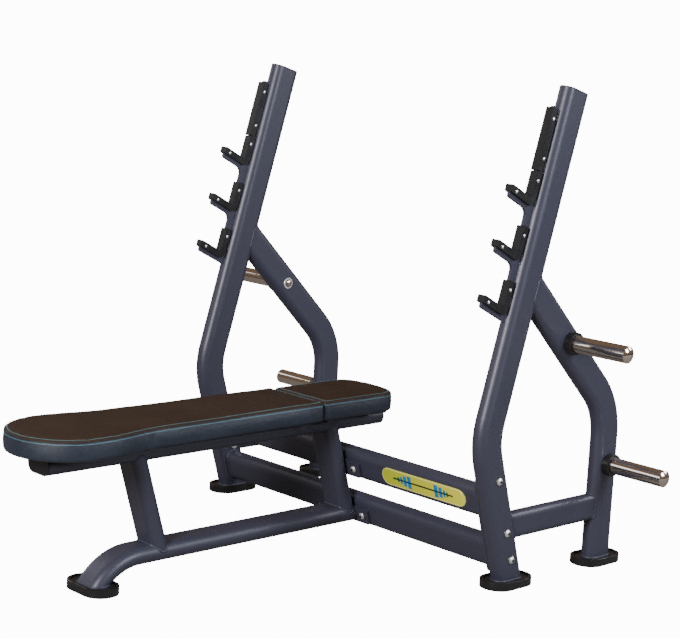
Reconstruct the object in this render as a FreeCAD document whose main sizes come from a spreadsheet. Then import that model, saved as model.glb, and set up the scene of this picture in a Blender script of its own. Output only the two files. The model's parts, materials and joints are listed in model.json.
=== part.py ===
import FreeCAD, Part
import math
import os
import Sketcher
from FreeCAD import Placement, Rotation, Vector

# Olympic flat bench press: two bolted side frames, two crossbars and a bench on a beam, two posts and a rail.
# The origin is on the floor under the middle of the whole machine, +Z is up, the foot end of the bench
# points to -Y and the two side frames stand at -X and +X. Everything is in millimetres.

doc = FreeCAD.newDocument("OlympicBench")
sheet = doc.addObject("Spreadsheet::Sheet", "Sizes")

driving = [
    # flat-oval tube of the frame, and the smaller one of the side bars
    ("tubeWide", 97), ("tubeThick", 50), ("tubeWall", 3), ("barWide", 80), ("barThick", 40), ("bendRadius", 200),
    # side frame: the leg leans forward up to the knee, the upright above it leans back
    ("frameX", 600), ("footTop", 19), ("kneeY", 254), ("kneeZ", 423), ("legLean", 17.15), ("legLength", 470),
    ("uprightLean", 15.7), ("uprightLength", 987),
    # rear brace: slopes down to its own knee, then stands straight
    ("braceLean", 45.5), ("braceLength", 556.5), ("rearLegY", 772.5), ("rearKneeZ", 466), ("sideBarZ", 172),
    # hook plate, measured along the upright from the knee and forward from its axis
    ("plateThick", 10), ("plateFront", 73), ("plateRoot", 45), ("plateTop", 926.7), ("hookFirst", 667),
    ("hookPitch", 152), ("armReach", 157), ("armSlope", 0.203), ("armTip", 30), ("armThroat", 28.5),
    # liners on the hooks and the guard strip above them
    ("linerWidth", 26), ("linerWall", 4.3), ("linerGap", 0.2), ("linerRise", 75.5), ("linerRear", 58),
    ("guardLow", 744.5), ("guardHigh", 920.5), ("guardWall", 6.3), ("screwRadius", 2.5), ("screwHead", 4.4),
    # plate horns
    ("hornRadius", 24.25), ("hornBore", 20.25), ("hornLength", 209), ("hornBlock", 24), ("upperHornY", 559.5),
    ("lowerHornZ", 298), ("collarRadius", 32.5), ("collarLength", 22), ("drawHead", 13), ("drawDome", 7),
    # crossbars, end plates and the bolts through the legs
    ("upperBarZ", 243), ("lowerBarZ", 93), ("endThick", 8), ("endWidth", 70), ("endLow", 44), ("endHigh", 328),
    ("boltRadius", 6), ("boltHead", 10.5), ("boltDome", 6.6), ("boltHole", 6.4), ("boltBack", 8),
    ("boltHighZ", 310), ("boltMidZ", 156), ("boltLowZ", 75), ("nutFlats", 19), ("nutHeight", 10),
    # flanges between the bench and the crossbars, and the badge
    ("flangeThick", 8), ("flangeWidth", 188), ("flangeHeight", 50), ("flangeDrop", 8), ("flangeBoltX", 67),
    ("badgeX", 352), ("badgeLength", 330), ("badgeHeight", 54), ("badgeThick", 3.5), ("badgeDrop", -2),
    # bench frame
    ("beamFrontY", -775.5), ("beamRearY", 411.5), ("beamZ", 367), ("frontPostY", -444), ("frontPostZ", 227),
    ("railZ", 78.5), ("railKneeY", -549), ("railRadius", 165), ("railSlope", 52), ("copeDepth", 19.5),
    # caps, feet
    ("capLid", 3), ("capPlug", 12), ("capGap", 0.3), ("footLength", 168), ("footWidth", 102), ("footHeight", 22),
    ("footRim", 10), ("footFloor", 14), ("benchFootY", -597), ("footScrewX", 38), ("footScrewHead", 7),
    # pads
    ("strapThick", 6), ("strapWidth", 60), ("strapSpan", 190), ("padBoltX", 70), ("padBoltRadius", 4),
    ("boardThick", 12), ("boardInset", 6), ("padGap", 0.4), ("padTop", 461), ("padEdge", 9), ("teeRadius", 9),
    ("seatFrontY", -856.5), ("seatNose", 158), ("seatWaist", 128), ("seatSweep", 487.5), ("seatRear", 120.5),
    ("seatRearY", 103.5), ("seatCorner", 10), ("headHalf", 115.5), ("headFrontY", 107.5), ("headRearY", 416),
    ("headCorner", 17), ("headBow", 300), ("headTurn", 60),
]

for row, (alias, amount) in enumerate(driving, start=1):
    sheet.set("A%d" % row, alias)
    sheet.set("B%d" % row, str(amount))
    sheet.setAlias("B%d" % row, alias)
doc.recompute()

given = {alias: float(amount) for alias, amount in driving}
subparts = {}
sides = (("right", 1), ("left", -1))


# ---- helpers ---------------------------------------------------------------------------------

def sin(degrees):
    return math.sin(math.radians(degrees))


def cos(degrees):
    return math.cos(math.radians(degrees))


def bind(target, **formulas):
    """Ties properties to the sheet; a formula names its sizes with a leading @."""
    for name, formula in formulas.items():
        target.setExpression(name.replace("_", "."), str(formula).replace("@", "Sizes."))


def pose(target, rotation, x, y, z):
    """Turns a piece and ties its place to the sheet."""
    target.Placement = Placement(Vector(), rotation)
    bind(target, Placement_Base_x=x, Placement_Base_y=y, Placement_Base_z=z)


def keep(node, piece):
    piece.Label = node
    subparts[node] = piece
    return piece


def axes(xDirection, yDirection):
    return Rotation(xDirection, yDirection, xDirection.cross(yDirection), "XYZ")


def sketchOn(body, name, role="XY_Plane"):
    sketch = body.newObject("Sketcher::SketchObject", name)
    plane = [item for item in body.Origin.OriginFeatures if item.Role == role][0]
    sketch.AttachmentSupport = [(plane, "")]
    sketch.MapMode = "FlatFace"
    return sketch


def drawLoop(sketch, steps):
    """A closed outline; a step of two numbers is a line to a point, one of four is an arc by way of the first pair."""
    first = sketch.GeometryCount
    previous = Vector(steps[0][-2], steps[0][-1], 0)
    for step in steps[1:] + steps[:1]:
        end = Vector(step[-2], step[-1], 0)
        if len(step) == 4:
            sketch.addGeometry(Part.Arc(previous, Vector(step[0], step[1], 0), end), False)
        elif (end - previous).Length > 1e-6:
            sketch.addGeometry(Part.LineSegment(previous, end), False)
        previous = end
    return first


def drawCircle(sketch, x, y, radius, formula):
    """A round hole whose radius is tied to the sheet."""
    index = sketch.addGeometry(Part.Circle(Vector(x, y, 0), Vector(0, 0, 1), radius), False)
    name = "round%d" % index
    sketch.addConstraint(Sketcher.Constraint("Radius", index, radius))
    sketch.renameConstraint(sketch.ConstraintCount - 1, name)
    sketch.setExpression("Constraints." + name, formula.replace("@", "Sizes."))


def drawOval(sketch, wide, thick, inset, alongX):
    """A flat oval about the sketch's origin, fully constrained, its width and thickness tied to the sheet."""
    straight = given[wide] - given[thick]
    radius = given[thick] / 2 - (given[inset] if inset else 0)
    turn = 0 if alongX else math.pi / 2
    first = sketch.GeometryCount
    spin = Rotation(Vector(0, 0, 1), math.degrees(turn))
    corners = [Vector(x * straight / 2, y * radius, 0) for x, y in ((1, 1), (-1, 1), (-1, -1), (1, -1))]
    corners = [spin.multVec(corner) for corner in corners]
    centres = [spin.multVec(Vector(x * straight / 2, 0, 0)) for x in (1, -1)]
    normal = Vector(0, 0, 1)
    quarter = math.pi / 2
    sketch.addGeometry(Part.ArcOfCircle(Part.Circle(centres[0], normal, radius), turn - quarter, turn + quarter))
    sketch.addGeometry(Part.LineSegment(corners[0], corners[1]))
    sketch.addGeometry(Part.ArcOfCircle(Part.Circle(centres[1], normal, radius), turn + quarter, turn + 3 * quarter))
    sketch.addGeometry(Part.LineSegment(corners[2], corners[3]))
    for step in range(4):
        sketch.addConstraint(Sketcher.Constraint("Tangent", first + step, 2, first + (step + 1) % 4, 1))
    flat = "Horizontal" if alongX else "Vertical"
    sketch.addConstraint(Sketcher.Constraint(flat, first + 1))
    sketch.addConstraint(Sketcher.Constraint(flat, first + 3))
    sketch.addConstraint(Sketcher.Constraint("Symmetric", first, 3, first + 2, 3, -1, 1))
    sketch.addConstraint(Sketcher.Constraint("Radius", first, radius))
    sketch.renameConstraint(sketch.ConstraintCount - 1, "bend%d" % first)
    less = " - Sizes.%s" % inset if inset else ""
    sketch.setExpression("Constraints.bend%d" % first, "Sizes.%s / 2%s" % (thick, less))
    spread = "DistanceX" if alongX else "DistanceY"
    sketch.addConstraint(Sketcher.Constraint(spread, first + 2, 3, first, 3, straight))
    sketch.renameConstraint(sketch.ConstraintCount - 1, "flat%d" % first)
    sketch.setExpression("Constraints.flat%d" % first, "Sizes.%s - Sizes.%s" % (wide, thick))


def corner(before, point, after, radius):
    """The two steps that round one corner of an outline."""
    here = Vector(*point, 0)
    back = (Vector(*before, 0) - here).normalize()
    ahead = (Vector(*after, 0) - here).normalize()
    half = back.getAngle(ahead) / 2
    start = here + back * (radius / math.tan(half))
    end = here + ahead * (radius / math.tan(half))
    middle = here + (back + ahead).normalize() * (radius / math.sin(half) - radius)
    return [(start.x, start.y), (middle.x, middle.y, end.x, end.y)]


def rounded(points):
    """An outline from corners given as (x, y) or (x, y, radius)."""
    steps = []
    for index, point in enumerate(points):
        if len(point) == 2:
            steps.append(tuple(point))
            continue
        before = points[index - 1][:2]
        after = points[(index + 1) % len(points)][:2]
        steps += corner(before, point[:2], after, point[2])
    if len(steps[0]) == 2 and len(points[0]) == 3:
        steps = steps[1:] + steps[:1]
    return steps


def dome(radius, low, high):
    """The step that closes a turned outline over its axis with a domed end."""
    rise = high - low
    ball = (radius * radius + rise * rise) / (2 * rise)
    angle = math.asin(min(1, radius / ball)) / 2
    return (ball * math.sin(angle), high - ball + ball * math.cos(angle), 0, high)


def slab(name, outline, thick, holes=(), low=None):
    """A flat piece in its own XY plane; it is centred on that plane unless a lower face is given."""
    body = doc.addObject("PartDesign::Body", name)
    sketch = sketchOn(body, name + "Outline")
    drawLoop(sketch, outline)
    for x, y, radius in holes:
        drawCircle(sketch, x, y, given[radius], "@" + radius)
    bind(sketch, AttachmentOffset_Base_z="-(%s) / 2" % thick if low is None else low)
    pad = body.newObject("PartDesign::Pad", name + "Pad")
    pad.Profile = sketch
    bind(pad, Length=thick)
    sketch.Visibility = False
    return body


def ovalTube(name, wide, thick, length, alongX, wall="tubeWall"):
    """A straight flat-oval tube up from its own XY plane; without a wall it is filled."""
    body = doc.addObject("PartDesign::Body", name)
    sketch = sketchOn(body, name + "Section")
    drawOval(sketch, wide, thick, None, alongX)
    if wall:
        drawOval(sketch, wide, thick, wall, alongX)
    pad = body.newObject("PartDesign::Pad", name + "Pad")
    pad.Profile = sketch
    bind(pad, Length=length)
    return body


def bentTube(name, path, radius, alongX, wall="tubeWall"):
    """A flat-oval tube bent once; its path starts at its own origin, going up, and bends in its YZ plane."""
    body = doc.addObject("PartDesign::Body", name)
    section = sketchOn(body, name + "Section")
    drawOval(section, "tubeWide", "tubeThick", None, alongX)
    if wall:
        drawOval(section, "tubeWide", "tubeThick", wall, alongX)
    spine = sketchOn(body, name + "Spine", "YZ_Plane")
    start, end = [Vector(*path[index], 0) for index in (0, 2)]
    bend = corner(path[0], path[1], path[2], radius)
    enter = Vector(*bend[0], 0)
    middle = Vector(bend[1][0], bend[1][1], 0)
    leave = Vector(bend[1][2], bend[1][3], 0)
    spine.addGeometry(Part.LineSegment(start, enter), False)
    spine.addGeometry(Part.Arc(enter, middle, leave), False)
    spine.addGeometry(Part.LineSegment(leave, end), False)
    pipe = body.newObject("PartDesign::AdditivePipe", name + "Pipe")
    pipe.Profile = section
    pipe.Spine = (spine, ["Edge1", "Edge2", "Edge3"])
    return body


def turned(name, outline):
    """A round piece turned about its own Z axis from an outline of radius and height."""
    body = doc.addObject("PartDesign::Body", name)
    sketch = sketchOn(body, name + "Outline", "XZ_Plane")
    drawLoop(sketch, outline)
    turn = body.newObject("PartDesign::Revolution", name + "Turn")
    turn.Profile = sketch
    turn.ReferenceAxis = (sketch, ["V_Axis"])
    turn.Angle = 360
    return body


def block(name, length, width, height):
    box = doc.addObject("Part::Box", name)
    bind(box, Length=length, Width=width, Height=height)
    return box


def rod(name, radius, height):
    cylinder = doc.addObject("Part::Cylinder", name)
    bind(cylinder, Radius=radius, Height=height)
    return cylinder


def without(name, base, *tools):
    """The base with every tool cut away."""
    for index, tool in enumerate(tools):
        cut = doc.addObject("Part::Cut", "%sCut%d" % (name, index))
        cut.Base = base
        cut.Tool = tool
        base = cut
    return base


def within(name, base, tool):
    common = doc.addObject("Part::Common", name + "Trim")
    common.Base = base
    common.Tool = tool
    return common


def together(name, pieces):
    """Separate solids of one kind, kept side by side."""
    group = doc.addObject("Part::Compound", name + "Set")
    group.Links = pieces
    return group


def buttonBolt(name, radius, length, head, rise):
    """A button-head bolt: its head stands on its own XY plane and its shank goes down."""
    return turned(name, [(0, -length), (radius, -length), (radius, 0), (head, 0), (head, rise * 0.3),
                         dome(head, rise * 0.3, rise)])


# ---- directions and places -------------------------------------------------------------------

upright = given["uprightLean"]
leg = given["legLean"]
uprightUp = Vector(0, sin(upright), cos(upright))
uprightForward = Vector(0, -cos(upright), sin(upright))
legUp = Vector(0, -sin(leg), cos(leg))
legForward = Vector(0, -cos(leg), -sin(leg))
along = Vector(1, 0, 0)


def legY(height, back=0):
    """Formula for Y on the leg's axis at a height, or a distance behind it."""
    return "@kneeY + (@kneeZ - (%s)) * tan(@legLean) + (%s) * cos(@legLean)" % (height, back)


def legZ(height, back=0):
    return "(%s) + (%s) * sin(@legLean)" % (height, back)


def uprightY(distance, forward=0):
    return "@kneeY + (%s) * sin(@uprightLean) - (%s) * cos(@uprightLean)" % (distance, forward)


def uprightZ(distance, forward=0):
    return "@kneeZ + (%s) * cos(@uprightLean) + (%s) * sin(@uprightLean)" % (distance, forward)


outerFace = "(@frameX + @tubeThick / 2)"
innerFace = "(@frameX - @tubeThick / 2)"
upperHornZ = "@rearKneeZ + (@rearLegY - @upperHornY) / tan(@braceLean)"
faceTurn = axes(along, legUp)

# everything that stands on a foot is trimmed at the top of the foot plates
aboveFeet = block("AboveFeet", "3000", "3000", "3000")
pose(aboveFeet, Rotation(), "-1500", "-1500", "@footTop")


# ---- feet ------------------------------------------------------------------------------------

def obround(length, width):
    half = (length - width) / 2
    radius = width / 2
    return [(-half, -radius), (half, -radius), (half + radius, 0, half, radius), (-half, radius),
            (-half - radius, 0, -half, -radius)]


footScrews = []


def addFoot(node, plateNode, x, y, turn):
    """A rubber foot with a raised rim, the steel plate that sits in it, and its two screws."""
    stem = "".join(word.title() for word in node.split("_"))
    rotation = Rotation(Vector(0, 0, 1), turn)
    spots = [(side * given["footScrewX"], 0) for side in (-1, 1)]
    foot = slab(stem, obround(given["footLength"], given["footWidth"]), "@footHeight",
                [(u, v, "padBoltRadius") for u, v in spots], low="0")
    recess = sketchOn(foot, stem + "Recess")
    rim = given["footRim"]
    drawLoop(recess, obround(given["footLength"] - 2 * rim, given["footWidth"] - 2 * rim))
    bind(recess, AttachmentOffset_Base_z="@footHeight")
    pocket = foot.newObject("PartDesign::Pocket", stem + "Pocket")
    pocket.Profile = recess
    bind(pocket, Length="@footHeight - @footFloor")
    seats = sketchOn(foot, stem + "Seats")
    for u, v in spots:
        drawCircle(seats, u, v, given["footScrewHead"], "@footScrewHead + 0.5")
    bind(seats, AttachmentOffset_Base_z="6")
    counterbore = foot.newObject("PartDesign::Pocket", stem + "Counterbore")
    counterbore.Profile = seats
    bind(counterbore, Length="6")
    pose(foot, rotation, x, y, "0")
    keep(node, foot)
    margin = 2 * rim + 2
    plate = slab(stem + "Plate", obround(given["footLength"] - margin, given["footWidth"] - margin),
                 "@footTop - @footFloor", [(u, v, "padBoltRadius") for u, v in spots], low="@footFloor")
    pose(plate, rotation, x, y, "0")
    keep(plateNode, plate)
    for index, (u, v) in enumerate(spots):
        screw = buttonBolt("%sScrew%d" % (stem, index), given["padBoltRadius"], given["footTop"] - 6,
                           given["footScrewHead"], 4)
        spot = rotation.multVec(Vector(u, v, 0))
        pose(screw, Rotation(Vector(1, 0, 0), 180), "%s + (%s)" % (x, spot.x), "%s + (%s)" % (y, spot.y), "6")
        footScrews.append(screw)


for side, sign in sides:
    frontFootY = legY("@footTop")
    addFoot("front_foot_" + side, "front_foot_plate_" + side, "%d * @frameX" % sign, frontFootY, 90)
    addFoot("rear_foot_" + side, "rear_foot_plate_" + side, "%d * @frameX" % sign, "@rearLegY", 90)
addFoot("bench_foot", "bench_foot_plate", "0", "@benchFootY", 0)
keep("foot_screws", together("FootScrews", footScrews))


# ---- side frames -----------------------------------------------------------------------------

bendAngle = upright + leg
legPath = [(0, 0), (0, given["legLength"]),
           (given["uprightLength"] * sin(bendAngle), given["legLength"] + given["uprightLength"] * cos(bendAngle))]
rearRise = given["rearKneeZ"]
bracePath = [(0, 0), (0, rearRise),
             (-given["braceLength"] * sin(given["braceLean"]), rearRise + given["braceLength"] * cos(given["braceLean"]))]


def poseUpright(tube, x):
    rise = "@kneeZ - @legLength * cos(@legLean)"
    pose(tube, Rotation(along, leg), x, "@kneeY + @legLength * sin(@legLean)", rise)


def crossRod(name, radius, x, y, z, length="@tubeThick + 40"):
    """A rod along X, used as a drill."""
    drill = rod(name, radius, length)
    pose(drill, Rotation(Vector(0, 1, 0), 90), x, y, z)
    return drill


legBoltHeights = ("@boltHighZ", "@boltMidZ", "@boltLowZ")
cores = {}

for side, sign in sides:
    x = "%d * @frameX" % sign
    drillX = "%d * @frameX - @tubeThick / 2 - 20" % sign
    tall = side.title()
    uprightCore = bentTube("UprightCore" + tall, legPath, given["bendRadius"], False, None)
    poseUpright(uprightCore, x)
    braceCore = bentTube("BraceCore" + tall, bracePath, given["bendRadius"], False, None)
    pose(braceCore, Rotation(), x, "@rearLegY", "0")
    cores[side] = (uprightCore, braceCore)

    uprightTube = bentTube("Upright" + tall, legPath, given["bendRadius"], False)
    poseUpright(uprightTube, x)
    drills = [crossRod("LegDrill%s%d" % (tall, index), "@boltHole", drillX,
                       legY(height, "@boltBack"), legZ(height, "@boltBack"))
              for index, height in enumerate(legBoltHeights)]
    trimmed = within("Upright" + tall, uprightTube, aboveFeet)
    keep("upright_tube_" + side, without("Upright" + tall, trimmed, *drills))

    braceTube = bentTube("Brace" + tall, bracePath, given["bendRadius"], False)
    pose(braceTube, Rotation(), x, "@rearLegY", "0")
    shoulder = block("Shoulder" + tall, "100", "160", "700")
    pose(shoulder, Rotation(along, -upright), "%s - 50" % x, uprightY("200", "133"), uprightZ("200", "133"))
    horns = [crossRod("UpperHornDrill" + tall, "@boltHole", drillX, "@upperHornY", upperHornZ),
             crossRod("LowerHornDrill" + tall, "@boltHole", drillX, "@rearLegY", "@lowerHornZ")]
    trimmed = within("Brace" + tall, braceTube, aboveFeet)
    keep("brace_tube_" + side, without("Brace" + tall, trimmed, shoulder, uprightCore, *horns))

    sideBar = ovalTube("SideBar" + tall, "barWide", "barThick", "@rearLegY - (%s)" % legY("@sideBarZ"), False)
    pose(sideBar, Rotation(along, -90), x, legY("@sideBarZ"), "@sideBarZ")
    keep("side_bar_" + side, without("SideBar" + tall, sideBar, uprightCore, braceCore))


# ---- hook plates, liners and guards ------------------------------------------------------------

def hookHeight(index):
    return given["hookFirst"] - index * given["hookPitch"]


front = given["plateFront"]
reach = given["armReach"]
slope = given["armSlope"]
armTurn = axes(uprightForward, uprightUp)


def armTop(forward, depth=0.0):
    """Height of the arm's top line above its hook's level, or of a line that runs below it."""
    return -given["linerWall"] - 0.3 + (forward - front) * slope - depth


def plateOutline():
    points = [(given["plateRoot"], given["plateTop"]), (front, given["plateTop"], 8)]
    for index in range(3):
        level = hookHeight(index)
        tip = level + armTop(reach) - given["armTip"]
        throat = level + armTop(front) - given["armThroat"]
        points += [(front, level + armTop(front)), (reach, level + armTop(reach), 3), (reach, tip, 7)]
        if index < 2:
            points.append((front, throat, 24))
    fall = (tip - throat) / (reach - front)
    points.append((given["plateRoot"], throat - (front - given["plateRoot"]) * fall))
    return rounded(points)


def linerOutline(level):
    """Side view of one hook liner: it wraps the top and the nose of the arm and the wall behind it."""
    wall = given["linerWall"]
    inner = front + wall + 0.2
    nose = reach + wall
    rear = given["linerRear"]
    top = level + given["linerRise"]
    skin = wall * math.sqrt(1 + slope * slope) + 0.2
    lower = 20.5
    return rounded([(rear, top), (inner, top, 2), (inner, level + armTop(inner) + skin, 3),
                    (nose, level + armTop(nose) + skin, 2.5), (nose, level + armTop(nose) + skin - lower, 2),
                    (rear, level + armTop(rear) + skin - lower, 18)])


def linerSlot(level):
    gap = given["linerGap"]
    top = level + given["linerRise"] + 10
    low = level - 60
    back = given["linerRear"] - 15
    return [(back, low), (reach + gap, low), (reach + gap, level + armTop(reach + gap) + gap),
            (front + gap, level + armTop(front + gap) + gap), (front + gap, top), (back, top)]


def linerScrewSpots(index):
    level = hookHeight(index)
    return [(front - 6, level + 50), (reach - 16, level + 1.5)]


guardScrewSpots = [(front - 6, 779), (front - 6, 889.7)]
allScrewSpots = guardScrewSpots + [spot for index in range(3) for spot in linerScrewSpots(index)]
plateSpots = [(u, v, "screwRadius") for u, v in allScrewSpots]
linerScrews = []

for side, sign in sides:
    x = "%d * @frameX" % sign
    tall = side.title()
    plate = slab("HookPlate" + tall, plateOutline(), "@plateThick", plateSpots)
    pose(plate, armTurn, x, "@kneeY", "@kneeZ")
    keep("hook_plate_" + side, without("HookPlate" + tall, plate, cores[side][0]))

    for index, word in enumerate(("top", "mid", "low")):
        name = "HookLiner%s%s" % (word.title(), tall)
        spots = [(u, v, "screwRadius") for u, v in linerScrewSpots(index)]
        liner = slab(name, linerOutline(hookHeight(index)), "@linerWidth", spots)
        pose(liner, armTurn, x, "@kneeY", "@kneeZ")
        slot = slab(name + "Slot", linerSlot(hookHeight(index)), "@plateThick + 2 * @linerGap")
        pose(slot, armTurn, x, "@kneeY", "@kneeZ")
        keep("hook_liner_%s_%s" % (word, side), without(name, liner, slot))

    strip = slab("GuardStrip" + tall, rounded([
        (given["linerRear"] + 2, given["guardLow"], 1.5), (front + given["guardWall"], given["guardLow"], 2),
        (front + given["guardWall"], given["guardHigh"], 3), (given["linerRear"] + 2, given["guardHigh"], 3)]),
        "@linerWidth", [(u, v, "screwRadius") for u, v in guardScrewSpots])
    pose(strip, armTurn, x, "@kneeY", "@kneeZ")
    gap = given["linerGap"]
    slot = slab("GuardSlot" + tall, [(40, given["guardLow"] - 20), (front + gap, given["guardLow"] - 20),
                                     (front + gap, given["guardHigh"] + 20), (40, given["guardHigh"] + 20)],
                "@plateThick + 2 * @linerGap")
    pose(slot, armTurn, x, "@kneeY", "@kneeZ")
    keep("guard_strip_" + side, without("GuardStrip" + tall, strip, slot))

    half = given["linerWidth"] / 2
    for index, (u, v) in enumerate(allScrewSpots):
        radius = given["screwRadius"]
        head = given["screwHead"]
        crown = dome(head, half + 0.6, half + 2)
        screw = turned("LinerScrew%s%d" % (tall, index), [
            (0, -half - 2), (crown[0], -crown[1], head, -half - 0.6), (head, -half), (radius, -half),
            (radius, half), (head, half), (head, half + 0.6), crown])
        pose(screw, Rotation(Vector(0, 1, 0), 90), x, uprightY(v, u), uprightZ(v, u))
        linerScrews.append(screw)
keep("liner_screws", together("LinerScrews", linerScrews))


# ---- plate horns -------------------------------------------------------------------------------

hornRadius = given["hornRadius"]
hornLength = given["hornLength"]
neck = hornRadius - 0.5
collarEnd = given["collarLength"] + 0.5
hornOutline = [(6, 0), (neck, 0), (neck, collarEnd), (hornRadius, collarEnd + 0.5), (hornRadius, hornLength - 9),
               dome(hornRadius, hornLength - 9, hornLength), (0, hornLength - 5),
               (given["hornBore"], hornLength - 11), (given["hornBore"], given["hornBlock"]),
               (6, given["hornBlock"])]
collarOutline = [(neck + 0.2, 0), (given["collarRadius"] - 1, 0), (given["collarRadius"], 1),
                 (given["collarRadius"], given["collarLength"] - 2),
                 (given["collarRadius"] - 2, given["collarLength"]), (neck + 0.2, given["collarLength"])]
hornBolts = []

for side, sign in sides:
    outward = Rotation(Vector(0, 1, 0), 90 * sign)
    collars = []
    for word, y, z in (("upper", "@upperHornY", upperHornZ), ("lower", "@rearLegY", "@lowerHornZ")):
        tall = word.title() + side.title()
        horn = turned("Horn" + tall, hornOutline)
        pose(horn, outward, "%d * %s" % (sign, outerFace), y, z)
        keep("%s_horn_%s" % (word, side), horn)
        collar = turned("Collar" + tall, collarOutline)
        pose(collar, outward, "%d * %s" % (sign, outerFace), y, z)
        collars.append(collar)
        bolt = buttonBolt("HornBolt" + tall, given["boltRadius"], given["tubeThick"] + 20, given["drawHead"],
                          given["drawDome"])
        pose(bolt, Rotation(Vector(0, 1, 0), -90 * sign), "%d * %s" % (sign, innerFace), y, z)
        hornBolts.append(bolt)
    keep("horn_collars_" + side, together("Collars" + side.title(), collars))
keep("horn_bolts", together("HornBolts", hornBolts))


# ---- crossbars, end plates, flanges and badge ----------------------------------------------------

barHalf = "(%s - @endThick)" % innerFace
barTurn = axes(legForward, legUp)
flangeDrillSpots = [(-given["flangeBoltX"], 0, "boltHole"), (given["flangeBoltX"], 0, "boltHole")]
flangeBolts = []
frameNuts = []
nutRadius = given["nutFlats"] / math.sqrt(3)
hexagon = [(nutRadius * cos(60 * index), nutRadius * sin(60 * index)) for index in range(6)]


def addNut(name, rotation, x, y, z):
    nut = slab(name, hexagon, "@nutHeight", [(0, 0, "boltRadius")], low="0")
    pose(nut, rotation, x, y, z)
    frameNuts.append(nut)


for word, height in (("upper", "@upperBarZ"), ("lower", "@lowerBarZ")):
    tall = word.title()
    bar = ovalTube("Crossbar" + tall, "tubeWide", "tubeThick", "2 * %s" % barHalf, False)
    barSpin = Rotation(legForward, legUp, along, "ZYX")
    pose(bar, barSpin, "-1 * %s" % barHalf, legY(height), height)
    drop = "%s - @flangeDrop * cos(@legLean)" % height
    drills = []
    for index, sign in enumerate((-1, 1)):
        drill = rod("FlangeDrill%s%d" % (tall, index), "@boltHole", "40")
        pose(drill, Rotation(Vector(0, 0, 1), legForward), "%d * @flangeBoltX" % sign, legY(drop), drop)
        drills.append(drill)
        reachOut = "-(@tubeThick / 2 + @flangeThick)"
        bolt = buttonBolt("FlangeBolt%s%d" % (tall, index), given["boltRadius"], 26, given["boltHead"],
                          given["boltDome"])
        pose(bolt, Rotation(Vector(0, 0, 1), legForward), "%d * @flangeBoltX" % sign,
             legY(drop, reachOut), legZ(drop, reachOut))
        flangeBolts.append(bolt)
        inside = "-(@tubeThick / 2 - @tubeWall)"
        addNut("FlangeNut%s%d" % (tall, index), Rotation(Vector(0, 0, 1), legForward * -1),
               "%d * @flangeBoltX" % sign, legY(drop, inside), legZ(drop, inside))
    keep(word + "_crossbar", without("Crossbar" + tall, bar, *drills))
    wide = given["flangeWidth"] / 2
    high = given["flangeHeight"] / 2
    flange = slab("Flange" + tall, rounded([(-wide, -high, 8), (wide, -high, 8), (wide, high, 8), (-wide, high, 8)]),
                  "@flangeThick", flangeDrillSpots)
    middle = "-(@tubeThick / 2 + @flangeThick / 2)"
    pose(flange, faceTurn, "0", legY(drop, middle), legZ(drop, middle))
    keep(word + "_flange", flange)
keep("flange_bolts", together("FlangeBolts", flangeBolts))

badge = slab("Badge", obround(given["badgeLength"], given["badgeHeight"]), "@badgeThick", low="0")
badgeDrop = "@upperBarZ - @badgeDrop * cos(@legLean)"
pose(badge, Rotation(along, legUp, along.cross(legUp), "ZXY"), "@badgeX", legY(badgeDrop, "-@tubeThick / 2"),
     legZ(badgeDrop, "-@tubeThick / 2"))
keep("badge", badge)

legBolts = []
lowEnd = (given["kneeZ"] - given["endLow"]) / cos(leg)
highEnd = (given["kneeZ"] - given["endHigh"]) / cos(leg)
endHalf = given["endWidth"] / 2
endOutline = rounded([(-endHalf, -lowEnd, 12), (endHalf, -lowEnd, 12), (endHalf, -highEnd, 30),
                      (-endHalf, -highEnd, 30)])
for side, sign in sides:
    tall = side.title()
    spots = [(-given["boltBack"], -(given["kneeZ"] - given[name]) / cos(leg), "boltHole")
             for name in ("boltHighZ", "boltMidZ", "boltLowZ")]
    plate = slab("EndPlate" + tall, endOutline, "@endThick", spots)
    pose(plate, barTurn, "%d * (%s - @endThick / 2)" % (sign, innerFace), "@kneeY", "@kneeZ")
    keep("end_plate_" + side, plate)
    for index, height in enumerate(legBoltHeights):
        y = legY(height, "@boltBack")
        z = legZ(height, "@boltBack")
        length = given["tubeThick"] + given["endThick"] + given["nutHeight"] + 3
        bolt = buttonBolt("LegBolt%s%d" % (tall, index), given["boltRadius"], length, given["boltHead"],
                          given["boltDome"])
        pose(bolt, Rotation(Vector(0, 1, 0), 90 * sign), "%d * %s" % (sign, outerFace), y, z)
        legBolts.append(bolt)
        addNut("LegNut%s%d" % (tall, index), Rotation(Vector(0, 1, 0), -90 * sign),
               "%d * %s" % (sign, barHalf), y, z)
keep("leg_bolts", together("LegBolts", legBolts))
keep("frame_nuts", together("FrameNuts", frameNuts))


# ---- bench frame -------------------------------------------------------------------------------

flat = Rotation(along, -90)
beamLength = "@beamRearY - @beamFrontY"
beamCore = ovalTube("BeamCore", "tubeWide", "tubeThick", beamLength, True, None)
pose(beamCore, flat, "0", "@beamFrontY", "@beamZ")
beam = ovalTube("Beam", "tubeWide", "tubeThick", beamLength, True)
pose(beam, flat, "0", "@beamFrontY", "@beamZ")
keep("bench_beam", beam)

railReach = 1000
railPath = [(0, 0), (0, railReach), (-200 * sin(given["railSlope"]), railReach + 200 * cos(given["railSlope"]))]
railTurn = Rotation(along, 90)


def addRail(name, wall):
    tube = bentTube(name, railPath, given["railRadius"], True, wall)
    pose(tube, railTurn, "0", "@railKneeY + %d" % railReach, "@railZ")
    return tube


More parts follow.
